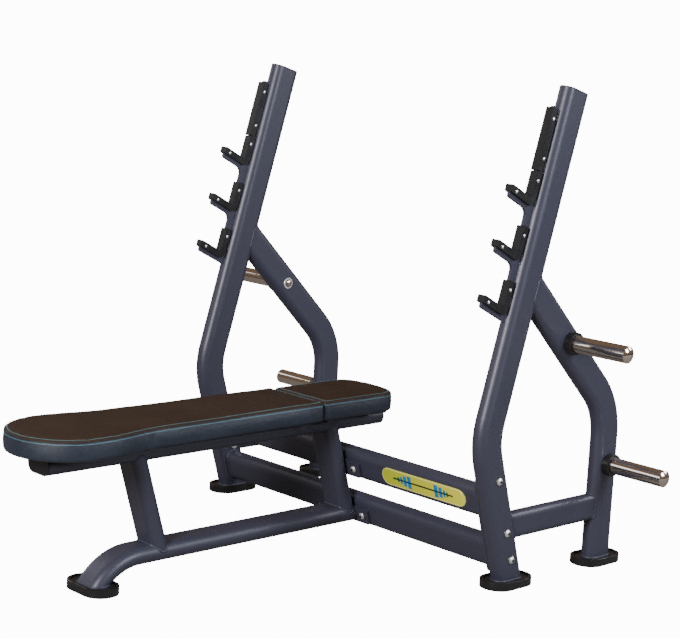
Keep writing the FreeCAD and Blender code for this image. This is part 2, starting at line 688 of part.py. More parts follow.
railCore = addRail("RailCore", None)
rail = within("Rail", addRail("Rail", "tubeWall"), aboveFeet)
rearStop = block("RearStop", "400", "400", "500")
stopDrop = "@lowerBarZ - @flangeDrop * cos(@legLean)"
stopOut = "-(@tubeThick / 2 + @flangeThick)"
pose(rearStop, Rotation(along, leg), "-200", "%s + 200 * sin(@legLean)" % legY(stopDrop, stopOut),
     "%s - 200 * cos(@legLean)" % legZ(stopDrop, stopOut))
keep("bench_rail", without("Rail", rail, rearStop))

between = block("BetweenRailAndBeam", "400", "2000", "@beamZ - @railZ - 2 * (@tubeThick / 2 - @copeDepth)")
pose(between, Rotation(), "-200", "-1000", "@railZ + @tubeThick / 2 - @copeDepth")
postOut = "-(@tubeThick + @flangeThick)"
posts = (("front_post", "@frontPostY + (@frontPostZ - @railZ) * tan(@legLean)", "@railZ"),
         ("rear_post", legY("@railZ", postOut), legZ("@railZ", postOut)))
for node, y, z in posts:
    name = "".join(word.title() for word in node.split("_"))
    post = ovalTube(name, "tubeWide", "tubeThick", "400", True)
    pose(post, Rotation(along, leg), "0", "%s + 50 * sin(@legLean)" % y, "%s - 50 * cos(@legLean)" % z)
    keep(node, without(name, within(name, post, between), railCore, beamCore))


def addCap(name):
    """An end cap: a lid with a softened edge on its own XY plane, and a hollow plug below it."""
    body = doc.addObject("PartDesign::Body", name)
    lid = sketchOn(body, name + "LidOutline")
    drawOval(lid, "tubeWide", "tubeThick", None, True)
    pad = body.newObject("PartDesign::Pad", name + "Lid")
    pad.Profile = lid
    bind(pad, Length="@capLid")
    plug = sketchOn(body, name + "PlugOutline")
    half = (given["tubeWide"] - given["tubeThick"]) / 2
    outer = given["tubeThick"] / 2 - given["tubeWall"] - given["capGap"]
    for radius in (outer, outer - 3):
        drawLoop(plug, obround(2 * half + 2 * radius, 2 * radius))
    bind(plug, AttachmentOffset_Base_z="-@capPlug")
    stem = body.newObject("PartDesign::Pad", name + "Plug")
    stem.Profile = plug
    bind(stem, Length="@capPlug")
    return body


beamCaps = []
for name, y, turn in (("BeamCapFront", "@beamFrontY", 90), ("BeamCapRear", "@beamRearY", -90)):
    cap = addCap(name)
    pose(cap, Rotation(along, turn), "0", y, "@beamZ")
    beamCaps.append(cap)
keep("beam_caps", together("BeamCaps", beamCaps))

topCaps = []
for side, sign in sides:
    cap = addCap("TopCap" + side.title())
    pose(cap, Rotation(uprightForward, along, uprightForward.cross(along), "XYZ"), "%d * @frameX" % sign,
         uprightY("@uprightLength"), uprightZ("@uprightLength"))
    topCaps.append(cap)
keep("top_caps", together("TopCaps", topCaps))


# ---- pads --------------------------------------------------------------------------------------

strapLow = given["beamZ"] + given["tubeThick"] / 2
boardLow = strapLow + given["strapThick"]
seatStraps = (-700, -330, 40)
headStraps = (170, 350)


def mirrored(steps):
    """Completes an outline given for +X, from the rear middle to the front middle, with its mirror image."""
    points = [steps[0]]
    for step in steps[1:]:
        points.append(step)
    other = []
    for index in range(len(steps) - 1, 0, -1):
        before = steps[index - 1]
        step = steps[index]
        end = (-before[-2], before[-1])
        other.append((-step[0], step[1]) + end if len(step) == 4 else end)
    return points + other


def seatOutline(inset):
    """The long pad: round front end, shoulders that draw in by an S curve, straight taper to the rear."""
    nose = given["seatNose"]
    turnY = given["seatFrontY"] + nose
    sweep = given["seatSweep"]
    angle = math.degrees(math.acos(1 - (nose - given["seatWaist"]) / 2 / sweep))
    waistY = turnY + 2 * sweep * sin(angle)
    inner = sweep - inset
    outer = sweep + inset
    rear = given["seatRear"] - inset
    rearY = given["seatRearY"] - inset
    round_ = given["seatCorner"] - inset / 2
    centreIn = nose - sweep
    centreOut = given["seatWaist"] + sweep
    mid = (centreIn + inner * cos(angle), turnY + inner * sin(angle))
    return mirrored([
        (0, rearY), (rear - round_, rearY),
        (rear - round_ * (1 - cos(45)), rearY - round_ * (1 - sin(45)), rear, rearY - round_),
        (centreOut - outer, waistY),
        (centreOut - outer * cos(angle / 2), waistY - outer * sin(angle / 2)) + mid,
        (centreIn + inner * cos(angle / 2), turnY + inner * sin(angle / 2), nose - inset, turnY),
        ((nose - inset) * cos(45), turnY - (nose - inset) * sin(45), 0, turnY - nose + inset)])


def headOutline(inset):
    """The head pad: square front with small corners, gently bowed rear with wide ones."""
    half = given["headHalf"] - inset
    frontY = given["headFrontY"] + inset
    small = given["headCorner"] - inset
    turn = given["headTurn"] - inset
    bow = given["headBow"] - inset
    bowY = given["headRearY"] - given["headBow"]
    turnX = half - turn
    turnY = bowY + math.sqrt((bow - turn) ** 2 - turnX ** 2)
    lean = math.degrees(math.atan2(turnX, turnY - bowY))
    meet = (bow * sin(lean), bowY + bow * cos(lean))
    middle = (90 + lean) / 2
    return mirrored([
        (0, bowY + bow), (bow * sin(lean / 2), bowY + bow * cos(lean / 2)) + meet,
        (turnX + turn * sin(middle), turnY + turn * cos(middle), half, turnY),
        (half, frontY + small),
        (half - small * (1 - cos(45)), frontY + small * (1 - sin(45)), half - small, frontY),
        (0, frontY)])


straps = []
padBolts = []
teeNuts = []
boltX = given["padBoltX"]
for index, y in enumerate(seatStraps + headStraps):
    wide = given["strapSpan"] / 2
    deep = given["strapWidth"] / 2
    strap = slab("Strap%d" % index, rounded([(-wide, -deep, 6), (wide, -deep, 6), (wide, deep, 6), (-wide, deep, 6)]),
                 "@strapThick", [(-boltX, 0, "padBoltRadius"), (boltX, 0, "padBoltRadius")])
    pose(strap, Rotation(), "0", str(y), "@beamZ + @tubeThick / 2 + @strapThick / 2")
    straps.append(strap)
    for sign in (-1, 1):
        tail = "%d%s" % (index, "Right" if sign > 0 else "Left")
        bolt = buttonBolt("PadBolt" + tail, given["padBoltRadius"], 16, 7, 4.4)
        pose(bolt, Rotation(along, 180), "%d * @padBoltX" % sign, str(y), "@beamZ + @tubeThick / 2")
        padBolts.append(bolt)
        nut = turned("TeeNut" + tail, [(4, 0), (given["teeRadius"], 0), (given["teeRadius"], -1.4), (5.2, -1.4),
                                       (5.2, -9), (4, -9)])
        pose(nut, Rotation(), "%d * @padBoltX" % sign, str(y),
             "@beamZ + @tubeThick / 2 + @strapThick + @boardThick")
        teeNuts.append(nut)
keep("pad_brackets", together("Straps", straps))
keep("pad_bolts", together("PadBolts", padBolts))
keep("tee_nuts", together("TeeNuts", teeNuts))

nutSeatHeight = 1.6
for node, outline, rows in (("main_pad", seatOutline, seatStraps), ("head_pad", headOutline, headStraps)):
    name = "".join(word.title() for word in node.split("_"))
    board = slab(name + "Board", outline(given["boardInset"]), "@boardThick", low="0")
    for stem, radius, low in (("Barrels", 5.4, 0), ("Seats", given["teeRadius"] + 0.2,
                                                    given["boardThick"] - nutSeatHeight)):
        seats = sketchOn(board, name + stem)
        for y in rows:
            for sign in (-1, 1):
                drawCircle(seats, sign * boltX, y, radius, str(radius))
        bind(seats, AttachmentOffset_Base_z="@boardThick")
        pocket = board.newObject("PartDesign::Pocket", name + stem + "Pocket")
        pocket.Profile = seats
        bind(pocket, Length="@boardThick - %s" % low)
    pose(board, Rotation(), "0", "0", "@beamZ + @tubeThick / 2 + @strapThick")
    keep(node + "_board", board)
    bottom = "@beamZ + @tubeThick / 2 + @strapThick + @padGap"
    cushion = slab(name + "Cushion", outline(0), "@padTop - (%s)" % bottom, low="0")
    hollow = sketchOn(cushion, name + "Hollow")
    drawLoop(hollow, outline(given["boardInset"] - given["padGap"]))
    bind(hollow, AttachmentOffset_Base_z="@boardThick")
    pocket = cushion.newObject("PartDesign::Pocket", name + "HollowPocket")
    pocket.Profile = hollow
    bind(pocket, Length="@boardThick")
    pose(cushion, Rotation(), "0", "0", bottom)
    keep(node + "_cushion", cushion)

doc.recompute()



def soften(node, kind, facing, **formulas):
    """Rounds or chamfers all edges of the face whose outward normal is nearest to a direction in the piece's frame."""
    body = subparts[node]
    faces = body.Tip.Shape.Faces
    turned_ = [face.normalAt(0.5, 0.5).dot(facing) + face.Area * 1e-9 for face in faces]
    index = turned_.index(max(turned_))
    feature = body.newObject("PartDesign::" + kind, body.Name + kind)
    feature.Base = (body.Group[-2] if body.Group[-1] is feature else body.Tip, ["Face%d" % (index + 1)])
    bind(feature, **formulas)
    body.Tip = feature


for softNode in ("main_pad_cushion", "head_pad_cushion"):
    soften(softNode, "Fillet", Vector(0, 0, 1), Radius="@padEdge")
soften("badge", "Chamfer", Vector(0, 0, 1), Size="@badgeThick / 2")
doc.recompute()


# ---- checks and files --------------------------------------------------------------------------

faults = []
for item in doc.Objects:
    if "Invalid" in item.State or "Error" in item.State:
        faults.append("%s: %s" % (item.Name, item.State))
for node, piece in subparts.items():
    if piece.Shape.isNull() or not piece.Shape.isValid():
        faults.append("%s: shape is not valid" % node)
if faults:
    raise RuntimeError("; ".join(faults))

os.makedirs("parts", exist_ok=True)
for node, piece in subparts.items():
    piece.Shape.exportStep("parts/%s.step" % node)
print("%d nodes" % len(subparts))
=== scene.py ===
import json
import math
import random
import bmesh
import bpy
from mathutils import Matrix, Vector
from mathutils.bvhtree import BVHTree


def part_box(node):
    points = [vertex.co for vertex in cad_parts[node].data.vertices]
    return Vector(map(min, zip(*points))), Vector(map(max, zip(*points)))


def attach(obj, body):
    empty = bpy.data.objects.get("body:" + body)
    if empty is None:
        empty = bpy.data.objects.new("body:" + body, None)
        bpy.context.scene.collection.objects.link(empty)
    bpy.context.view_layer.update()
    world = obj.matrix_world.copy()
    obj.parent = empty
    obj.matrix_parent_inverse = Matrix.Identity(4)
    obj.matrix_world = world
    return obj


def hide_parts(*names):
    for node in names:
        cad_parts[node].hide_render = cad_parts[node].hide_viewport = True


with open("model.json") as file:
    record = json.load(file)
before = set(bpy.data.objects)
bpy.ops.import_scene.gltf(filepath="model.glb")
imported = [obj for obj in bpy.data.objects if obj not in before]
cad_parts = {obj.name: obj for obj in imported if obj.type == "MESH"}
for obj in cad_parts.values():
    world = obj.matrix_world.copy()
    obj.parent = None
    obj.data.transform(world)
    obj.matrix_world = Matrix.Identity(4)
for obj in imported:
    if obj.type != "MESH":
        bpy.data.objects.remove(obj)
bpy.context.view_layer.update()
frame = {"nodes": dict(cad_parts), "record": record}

scene = bpy.context.scene
up = Vector((0, 0, 1))
sides = (("right", 1), ("left", -1))


# materials

def newMaterial(name, color, roughness, metallic=0.0, specular=0.5, coat=0.0):
    material = bpy.data.materials.new(name)
    material.use_nodes = True
    shader = material.node_tree.nodes["Principled BSDF"]
    shader.inputs["Base Color"].default_value = (*color, 1)
    shader.inputs["Roughness"].default_value = roughness
    shader.inputs["Metallic"].default_value = metallic
    shader.inputs["Specular IOR Level"].default_value = specular
    shader.inputs["Coat Weight"].default_value = coat
    return material, material.node_tree, shader


def objectSpace(tree, stretch=(1, 1, 1)):
    coords = tree.nodes.new("ShaderNodeTexCoord")
    mapping = tree.nodes.new("ShaderNodeMapping")
    mapping.inputs["Scale"].default_value = stretch
    tree.links.new(coords.outputs["Object"], mapping.inputs["Vector"])
    return mapping.outputs["Vector"]


def noise(tree, vector, scale, detail=2.0, rough=0.5):
    node = tree.nodes.new("ShaderNodeTexNoise")
    node.inputs["Scale"].default_value = scale
    node.inputs["Detail"].default_value = detail
    node.inputs["Roughness"].default_value = rough
    tree.links.new(vector, node.inputs["Vector"])
    return node.outputs["Fac"]


def cells(tree, vector, scale, feature="F1", spread=1.0):
    node = tree.nodes.new("ShaderNodeTexVoronoi")
    node.feature = feature
    node.inputs["Scale"].default_value = scale
    node.inputs["Randomness"].default_value = spread
    tree.links.new(vector, node.inputs["Vector"])
    return node


def ramp(tree, value, low, high, first, second):
    node = tree.nodes.new("ShaderNodeMapRange")
    node.inputs["From Min"].default_value = low
    node.inputs["From Max"].default_value = high
    node.inputs["To Min"].default_value = first
    node.inputs["To Max"].default_value = second
    tree.links.new(value, node.inputs["Value"])
    return node.outputs["Result"]


def blendColor(tree, factor, first, second, target):
    node = tree.nodes.new("ShaderNodeMix")
    node.data_type = "RGBA"
    node.inputs["A"].default_value = (*first, 1)
    node.inputs["B"].default_value = (*second, 1)
    tree.links.new(factor, node.inputs["Factor"])
    tree.links.new(node.outputs["Result"], target)


def bump(tree, shader, height, strength, distance, under=None):
    node = tree.nodes.new("ShaderNodeBump")
    node.inputs["Strength"].default_value = strength
    node.inputs["Distance"].default_value = distance
    tree.links.new(height, node.inputs["Height"])
    if under is not None:
        tree.links.new(under, node.inputs["Normal"])
    tree.links.new(node.outputs["Normal"], shader.inputs["Normal"])
    return node.outputs["Normal"]


def powderCoat(name, color, glintColor):
    material, tree, shader = newMaterial(name, color, 0.42, 0.15, 0.5)
    space = objectSpace(tree)
    flakes = cells(tree, space, 620)
    # lighter flake dots in the base colour are painted glints of the metallic flakes
    glint = ramp(tree, flakes.outputs["Distance"], 0.10, 0.36, 1.0, 0.0)
    blendColor(tree, glint, color, glintColor, shader.inputs["Base Color"])
    tree.links.new(ramp(tree, noise(tree, space, 240, 3), 0.3, 0.7, 0.36, 0.44), shader.inputs["Roughness"])
    orange = bump(tree, shader, noise(tree, space, 420, 3), 0.10, 0.0005)
    bump(tree, shader, flakes.outputs["Distance"], 0.04, 0.0004, orange)
    return material


def polishedChrome():
    material, tree, shader = newMaterial("polishedChrome", (0.78, 0.70, 0.63), 0.10, 1.0)
    space = objectSpace(tree, (1, 40, 40))
    rub = noise(tree, space, 40, 4, 0.7)
    tree.links.new(ramp(tree, rub, 0.35, 0.75, 0.05, 0.20), shader.inputs["Roughness"])
    bump(tree, shader, rub, 0.06, 0.0002)
    return material


def boltSteel():
    material, tree, shader = newMaterial("boltSteel", (0.80, 0.80, 0.82), 0.36, 0.8)
    space = objectSpace(tree)
    tree.links.new(ramp(tree, noise(tree, space, 260, 3), 0.3, 0.7, 0.30, 0.46), shader.inputs["Roughness"])
    bump(tree, shader, noise(tree, space, 700, 2), 0.1, 0.0002)
    return material


def blackPlastic():
    material, tree, shader = newMaterial("blackPlastic", (0.0075, 0.0078, 0.0095), 0.42, 0.0, 0.4)
    space = objectSpace(tree)
    tree.links.new(ramp(tree, noise(tree, space, 30, 4), 0.3, 0.7, 0.34, 0.50), shader.inputs["Roughness"])
    bump(tree, shader, noise(tree, space, 900, 2), 0.25, 0.0003)
    return material


def blackRubber():
    material, tree, shader = newMaterial("blackRubber", (0.008, 0.008, 0.009), 0.30, 0.0, 0.6)
    space = objectSpace(tree)
    dust = noise(tree, space, 35, 5, 0.6)
    blendColor(tree, ramp(tree, dust, 0.45, 0.8, 0.0, 1.0), (0.0075, 0.0077, 0.009), (0.014, 0.0135, 0.014),
               shader.inputs["Base Color"])
    bump(tree, shader, noise(tree, space, 500, 3), 0.18, 0.0004)
    return material


# Grained vinyl leather
def leather(name, color, tint, roughness, gloss):
    material, tree, shader = newMaterial(name, color, roughness, 0.0, 0.5)
    space = objectSpace(tree)
    shader.inputs["Specular IOR Level"].default_value = gloss
    broad = noise(tree, space, 9, 3)
    blendColor(tree, ramp(tree, broad, 0.3, 0.7, 0.0, 1.0), color, tint, shader.inputs["Base Color"])
    tree.links.new(ramp(tree, noise(tree, space, 60, 3), 0.3, 0.7, roughness - 0.06, roughness + 0.08),
                   shader.inputs["Roughness"])
    grain = cells(tree, space, 430, "DISTANCE_TO_EDGE")
    pores = bump(tree, shader, ramp(tree, grain.outputs["Distance"], 0.0, 0.28, 0.0, 1.0), 0.45, 0.0006)
    bump(tree, shader, noise(tree, space, 45, 4), 0.25, 0.0012, pores)
    return material


def thread():
    material, tree, shader = newMaterial("stitchThread", (0.13, 0.40, 0.50), 0.55, 0.0, 0.4)
    space = objectSpace(tree)
    blendColor(tree, ramp(tree, noise(tree, space, 700, 2), 0.3, 0.7, 0.0, 1.0), (0.10, 0.33, 0.43),
               (0.20, 0.52, 0.62), shader.inputs["Base Color"])
    bump(tree, shader, noise(tree, space, 2500, 2), 0.4, 0.0003)
    return material


def badgeYellow():
    material, tree, shader = newMaterial("badgeYellow", (0.60, 0.58, 0.04), 0.30, 0.0, 0.3, 0.1)
    space = objectSpace(tree)
    split = tree.nodes.new("ShaderNodeSeparateXYZ")
    tree.links.new(space, split.inputs[0])
    along = ramp(tree, split.outputs["X"], 0.12, 0.50, 0.0, 1.0)  # green at the bench's end, yellow outward
    blendColor(tree, along, (0.36, 0.42, 0.020), (0.72, 0.70, 0.060), shader.inputs["Base Color"])
    bump(tree, shader, noise(tree, space, 160, 3), 0.08, 0.0003)
    return material


def plywood():
    material, tree, shader = newMaterial("plywood", (0.36, 0.24, 0.14), 0.7)
    plies = noise(tree, objectSpace(tree, (3, 3, 330)), 3, 3)
    blendColor(tree, ramp(tree, plies, 0.35, 0.65, 0.0, 1.0), (0.26, 0.16, 0.09), (0.50, 0.36, 0.22),
               shader.inputs["Base Color"])
    bump(tree, shader, plies, 0.3, 0.0005)
    return material


def plainColor(name, color, roughness):
    material, tree, shader = newMaterial(name, color, roughness, 0.0, 0.5, 0.3)
    space = objectSpace(tree)
    tree.links.new(ramp(tree, noise(tree, space, 80, 2), 0.3, 0.7, roughness - 0.05, roughness + 0.05),
                   shader.inputs["Roughness"])
    bump(tree, shader, noise(tree, space, 400, 2), 0.1, 0.0002)
    return material


looks = {
    "frame_paint": powderCoat("powderCoat", (0.041, 0.0425, 0.067), (0.076, 0.079, 0.122)),
    "horn_chrome": polishedChrome(),
    "bolt_steel": boltSteel(),
    "black_plastic": blackPlastic(),
    "black_rubber": blackRubber(),
    "badge_face": badgeYellow(),
    "plywood": plywood(),
    # the top panel's dark brown is a painted reflection of warm surroundings on the black leather
    "pad_cover": leather("padTop", (0.0250, 0.0145, 0.0090), (0.0320, 0.0190, 0.0120), 0.56, 0.24),
}
padSide = leather("padSide", (0.0125, 0.0185, 0.0315), (0.0165, 0.0240, 0.0400), 0.36, 0.5)
weltLeather = leather("padWelt", (0.0070, 0.0085, 0.0120), (0.0090, 0.0110, 0.0150), 0.42, 0.4)
stitchThread = thread()
platePaint = powderCoat("platePaint", (0.012, 0.0125, 0.016), (0.022, 0.023, 0.030))

slotOf = {row["node"]: row["material_slot"] for row in frame["record"]["subparts"]}
for node, piece in frame["nodes"].items():
    piece.data.materials.clear()
    piece.data.materials.append(platePaint if "foot_plate" in node else looks[slotOf[node]])
print("materials done")


# Turns a built bmesh into a named piece of the object at the origin
def finishPiece(name, build, materials, nodes=(), smooth=True):
    bmesh.ops.recalc_face_normals(build, faces=build.faces)
    mesh = bpy.data.meshes.new(name)
    build.to_mesh(mesh)
    build.free()
    piece = bpy.data.objects.new(name, mesh)
    scene.collection.objects.link(piece)
    for material in materials:
        mesh.materials.append(material)
    if smooth:
        mesh.polygons.foreach_set("use_smooth", [True] * len(mesh.polygons))
    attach(piece, "root")
    if nodes:
        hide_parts(*nodes)
    return piece


def applyModifiers(piece):
    bpy.context.view_layer.update()
    graph = bpy.context.evaluated_depsgraph_get()
    mesh = bpy.data.meshes.new_from_object(piece.evaluated_get(graph))
    old = piece.data
    piece.modifiers.clear()
    piece.data = mesh
    mesh.name = piece.name
    bpy.data.meshes.remove(old)


# pads

def arc(center, radius, start, end, steps):
    angles = [math.radians(start + (end - start) * step / steps) for step in range(steps + 1)]
    return [Vector((center[0] + radius * math.cos(a), center[1] + radius * math.sin(a))) for a in angles]


# half widths and radii of the two pads' outlines
seatShape = {"waist": 0.128, "curve": 0.4875, "rear": 0.1205, "corner": 0.010, "leastCorner": 0.002}
headShape = {"bow": 0.300, "turn": 0.060, "corner": 0.017, "leastCorner": 0.002}


# Half outline of the long pad, from the rear middle round to the front middle
def seatLine(box, inset=0.0):
    low, high = box
    nose = high.x
    curve = seatShape["curve"]
    waist = seatShape["waist"]
    rear = seatShape["rear"] - inset
    turnY = low.y + nose
    angle = math.degrees(math.acos(1 - (nose - waist) / 2 / curve))
    waistY = turnY + 2 * curve * math.sin(math.radians(angle))
    rearY = high.y - inset
    small = max(seatShape["corner"] - inset / 2, seatShape["leastCorner"])
    line = [Vector((0, rearY))]
    line += arc((rear - small, rearY - small), small, 90, 0, 5)
    line += arc((waist + curve, waistY), curve + inset, 180, 180 + angle, 8)
    line += arc((nose - curve, turnY), curve - inset, angle, 0, 8)[1:]
    line += arc((0, turnY), nose - inset, 0, -90, 20)[1:]
    return line


# Half outline of the head pad, from the rear middle round to the front middle
def headLine(box, inset=0.0):
    low, high = box
    half = high.x - inset
    bow = headShape["bow"] - inset
    bowY = high.y - headShape["bow"]
    turn = headShape["turn"] - inset
    turnX = half - turn
    turnY = bowY + math.sqrt((bow - turn) ** 2 - turnX ** 2)
    lean = math.degrees(math.atan2(turnX, turnY - bowY))
    small = max(headShape["corner"] - inset, headShape["leastCorner"])
    frontY = low.y + inset
    line = arc((0, bowY), bow, 90, 90 - lean, 6)
    line += arc((turnX, turnY), turn, 90 - lean, 0, 8)[1:]
    line += arc((half - small, frontY + small), small, 0, -90, 5)
    line.append(Vector((0, frontY)))
    return line


# A closed outline from its +X half
def wholeLine(half):
    return half + [Vector((-p.x, p.y)) for p in reversed(half[1:-1])]


# Points at an even spacing along a line, each with its direction
def evenly(points, pitch, closed=True):
    loop = points + points[:1] if closed else points
    lengths = [(b - a).length for a, b in zip(loop, loop[1:])]
    total = sum(lengths)
    count = max(3, round(total / pitch))
    step = total / count
    found = []
    index = 0
    walked = 0.0
    for number in range(count):
        target = number * step
        while index < len(lengths) - 1 and walked + lengths[index] < target:
            walked += lengths[index]
            index += 1
        a, b = loop[index], loop[index + 1]
        share = (target - walked) / max(lengths[index], 1e-9)
        found.append((a.lerp(b, min(1, share)), (b - a).normalized()))
    return found


padSettings = {
    "voxel": 0.0056,
    "edge": 0.0075,  # rounding of the top edge
    "footEdge": 0.004,
    "lift": 0.0006,  # clear of the beam
    "shrink": 0.0014,  # the foam starts this much smaller and swells
    "crown": 0.0032,
    "crownShare": 0.95,
    "crownReach": 0.09,
    "bulge": 0.0022,
    "bulgeReach": 0.02,
    "fencePitch": 0.012,
    "holdBelow": 0.010,  # cloth this near the base stays put
    "seamHold": 0.003,
    "seamHoldWeight": 0.6,
    "pressure": 4.0,
    "frames": 20,
    "cap": 0.0022,  # the furthest a point may move
    "topInset": 0.0095,
    "sideDrop": 0.0145,
    "seamDrop": 0.0062,
    "stitchPitch": 0.0072,
    "stitchLength": 0.0050,
    "stitchRadius": 0.00085,
    "weltPitch": 0.008,
    "weltRadius": 0.0016,
    "weltSink": 0.0006,
}


# Foam body of a pad: its outline drawn up, edges rounded, top crowned, then blown up gently
def padBody(name, node, lineOf):
    low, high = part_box(node)
    box = (low, high)
    shrink = padSettings["shrink"]
    build = bmesh.new()
    floorZ = low.z + padSettings["lift"]
    ring = [build.verts.new((p.x, p.y, floorZ)) for p in wholeLine(lineOf(box, shrink))]
    base = build.faces.new(ring)
    lifted = bmesh.ops.extrude_face_region(build, geom=[base])
    raised = [item for item in lifted["geom"] if isinstance(item, bmesh.types.BMVert)]
    bmesh.ops.translate(build, verts=raised, vec=(0, 0, high.z - floorZ - padSettings["crown"]))
    topZ = raised[0].co.z
    rim = [edge for edge in build.edges if all(abs(v.co.z - topZ) < 1e-6 for v in edge.verts)]
    bmesh.ops.bevel(build, geom=rim, offset=padSettings["edge"], segments=5, profile=0.5, affect="EDGES",
                    material=-1)
    foot = [edge for edge in build.edges if all(abs(v.co.z - floorZ) < 1e-6 for v in edge.verts)]
    bmesh.ops.bevel(build, geom=foot, offset=padSettings["footEdge"], segments=3, profile=0.5, affect="EDGES",
                    material=-1)
    covered = [node, node.replace("cushion", "board")]
    piece = finishPiece(name, build, [looks["pad_cover"], padSide], covered)
    remesh = piece.modifiers.new("even", "REMESH")
    remesh.mode = "VOXEL"
    remesh.voxel_size = padSettings["voxel"]
    applyModifiers(piece)
    inflate(piece, low, high)
    crownPad(piece, box, lineOf)
    return piece


# A short cloth run fills the cover with pressure, and the cap keeps every point near its start
def inflate(piece, low, high):
    start = [v.co.copy() for v in piece.data.vertices]
    held = piece.vertex_groups.new(name="held")
    seam = high.z - low.z - padSettings["seamDrop"] - padSettings["crown"]
    for v in piece.data.vertices:
        rise = v.co.z - low.z
        if rise < padSettings["holdBelow"]:
            held.add([v.index], 1.0, "REPLACE")
        elif abs(rise - seam) < padSettings["seamHold"]:
            held.add([v.index], padSettings["seamHoldWeight"], "REPLACE")
    cloth = piece.modifiers.new("fill", "CLOTH")
    cloth.settings.quality = 4
    cloth.settings.mass = 0.35
    cloth.settings.tension_stiffness = 30
    cloth.settings.compression_stiffness = 30
    cloth.settings.shear_stiffness = 12
    cloth.settings.bending_stiffness = 6
    cloth.settings.air_damping = 4
    cloth.settings.vertex_group_mass = "held"
    cloth.settings.use_pressure = True
    cloth.settings.uniform_pressure_force = padSettings["pressure"]
    cloth.settings.effector_weights.gravity = 0
    cloth.collision_settings.use_collision = False
    cloth.point_cache.frame_start = 1
    cloth.point_cache.frame_end = padSettings["frames"]
    for number in range(1, padSettings["frames"] + 1):
        scene.frame_set(number)
    applyModifiers(piece)
    scene.frame_set(1)
    cap = padSettings["cap"]
    for v, before in zip(piece.data.vertices, start):
        moved = v.co - before
        if moved.length > cap:
            v.co = before + moved.normalized() * cap
    piece.vertex_groups.clear()


# Crowns the top and rounds the walls out between base and seam
def crownPad(piece, box, lineOf):
    low, high = box
    samples = evenly(wholeLine(lineOf(box)), padSettings["fencePitch"])
    count = len(samples)
    fenceTop = 0.01  # a low fence along the outline tells how far in a point lies
    fence = [(p.x, p.y, z) for z in (0, fenceTop) for p, d in samples]
    panels = [(i, (i + 1) % count, (i + 1) % count + count, i + count) for i in range(count)]
    tree = BVHTree.FromPolygons(fence, panels)
    height = high.z - low.z
    seam = height - padSettings["seamDrop"] - padSettings["crown"]
    for v in piece.data.vertices:
        flatPoint = Vector((v.co.x, v.co.y, fenceTop / 2))
        near, normal, index, away = tree.find_nearest(flatPoint)
        rise = v.co.z - low.z
        if rise > height - padSettings["crown"] - padSettings["edge"] * 0.8:
            share = min(1.0, max(0.0, away / padSettings["crownReach"]))
            v.co.z += padSettings["crown"] * (1 - (1 - share) ** 2) * padSettings["crownShare"]
        if away < padSettings["bulgeReach"]:
            wall = math.sin(math.pi * min(1.0, max(0.0, rise / seam)))
            outward = near - flatPoint
            outward.z = 0
            direction = outward.normalized() if outward.length > 1e-6 else Vector((0, 0, 0))
            v.co += direction * (padSettings["bulge"] * wall) * (1 - away / padSettings["bulgeReach"])
    piece.data.update()


# Above the seam the cover takes the brown top leather, a painted reflection of warm surroundings on black
# leather; the side panel below the seam has its own blue-grey cover
def paintPad(piece, box):
    low, high = box
    line = high.z - padSettings["seamDrop"] - padSettings["crown"]
    for polygon in piece.data.polygons:
        polygon.material_index = 1 if polygon.center.z < line else 0
        polygon.use_smooth = True


def surfaceOf(piece):
    build = bmesh.new()
    build.from_mesh(piece.data)
    tree = BVHTree.FromBMesh(build)
    build.free()
    return tree


# Short thread lengths, each lying on the cover
def stitchRow(build, places, length, radius):
    for middle, along, normal in places:
        side = normal.cross(along).normalized()
        spin = Matrix((along, side, normal)).transposed().to_4x4()
        spin.translation = middle
        size = Matrix.Diagonal((length / 2, radius, radius * 0.8, 1))
        bmesh.ops.create_icosphere(build, subdivisions=1, radius=1.0, matrix=spin @ size)


# Places on the cover along a row: on the top panel at an inset, or on the wall at a height
def seamPlaces(tree, box, lineOf, row, pitch):
    low, high = box
    clear = 0.05  # rays start this far off the cover
    places = []
    inset = padSettings["topInset"] if row == "top" else 0.0
    for point, along in evenly(wholeLine(lineOf(box, inset)), pitch):
        direction = Vector((along.x, along.y, 0)).normalized()
        out = Vector((direction.y, -direction.x, 0))
        if out.dot(Vector((point.x, point.y - (low.y + high.y) / 2, 0))) < 0:
            out = -out
        if row == "top":
            start = Vector((point.x, point.y, high.z + clear))
            hit, normal, index, away = tree.ray_cast(start, -up)
        else:
            seam = padSettings["seamDrop"] + padSettings["crown"]
            drop = padSettings["sideDrop"] if row == "side" else seam
            start = Vector((point.x, point.y, high.z - drop)) + out * clear
            hit, normal, index, away = tree.ray_cast(start, -out)
        if hit is None:
            continue
        if normal.dot(up if row == "top" else out) < 0:
            normal = -normal
        places.append((hit, direction, normal))
    return places


# Skins a row of equal rings, end to end or with closed ends
def joinRings(build, rings, closed):
    pairs = list(zip(rings, rings[1:])) + ([(rings[-1], rings[0])] if closed else [])
    count = len(rings[0])
    for first, second in pairs:
        for step in range(count):
            after = (step + 1) % count
            build.faces.new((first[step], first[after], second[after], second[step]))
    if not closed:
        build.faces.new(rings[0])
        build.faces.new(rings[-1])


# A round cord along places on a surface
def sweep(build, places, radius, corners=8, sink=0.0):
    rings = []
    for middle, along, normal in places:
        across = normal.cross(along).normalized()
        ring = []
        for step in range(corners):
            angle = 2 * math.pi * step / corners
            ring.append(build.verts.new(middle - normal * sink + across * (radius * math.cos(angle))
                                        + normal * (radius * math.sin(angle))))
        rings.append(ring)
    joinRings(build, rings, True)


